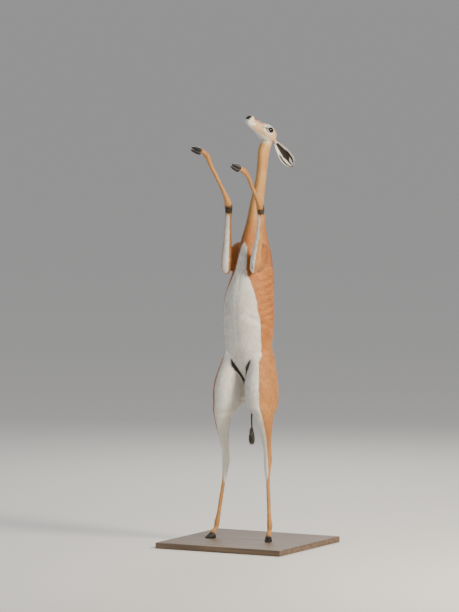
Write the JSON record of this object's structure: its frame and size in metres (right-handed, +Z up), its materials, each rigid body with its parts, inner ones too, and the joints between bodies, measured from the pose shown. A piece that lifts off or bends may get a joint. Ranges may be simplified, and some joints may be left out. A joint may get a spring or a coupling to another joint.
{
  "type": "gerenuk",
  "caption": "Life-size still model of a female gerenuk reared up on its hind legs, forelegs raised and nose up, standing on a flat display base.",
  "frame": {"origin": "middle of the display base's underside, on the floor", "axes": "+Z up, the animal faces -Y and its left side is +X"},
  "size_m": [0.7, 0.7337, 2.1574],
  "materials": {
    "coat": "short smooth hair, tan above and white below",
    "ear": "short soft hair, white inside with dark stripes",
    "dark_hair": "long coarse black hair",
    "hoof": "smooth black horn",
    "eye": "wet and glossy, very dark brown",
    "base_board": "satin varnish"
  },
  "bodies": {
    "root": {"ear_left": "ear", "ear_right": "ear", "eye_left": "eye", "eye_right": "eye", "fore_cannon_left": "coat", "fore_cannon_right": "coat", "fore_claw_inner_left": "hoof", "fore_claw_inner_right": "hoof", "fore_claw_outer_left": "hoof", "fore_claw_outer_right": "hoof", "fore_pastern_left": "coat", "fore_pastern_right": "coat", "forearm_left": "coat", "forearm_right": "coat", "head": "coat", "hind_cannon_left": "coat", "hind_cannon_right": "coat", "hind_claw_inner_left": "hoof", "hind_claw_inner_right": "hoof", "hind_claw_outer_left": "hoof", "hind_claw_outer_right": "hoof", "hind_pastern_left": "coat", "hind_pastern_right": "coat", "neck": "coat", "shank_left": "coat", "shank_right": "coat", "stand_base": "base_board", "tail": "coat", "tail_tuft": "dark_hair", "thigh_left": "coat", "thigh_right": "coat", "torso": "coat", "upper_arm_left": "coat", "upper_arm_right": "coat"}
  },
  "joints": []
}
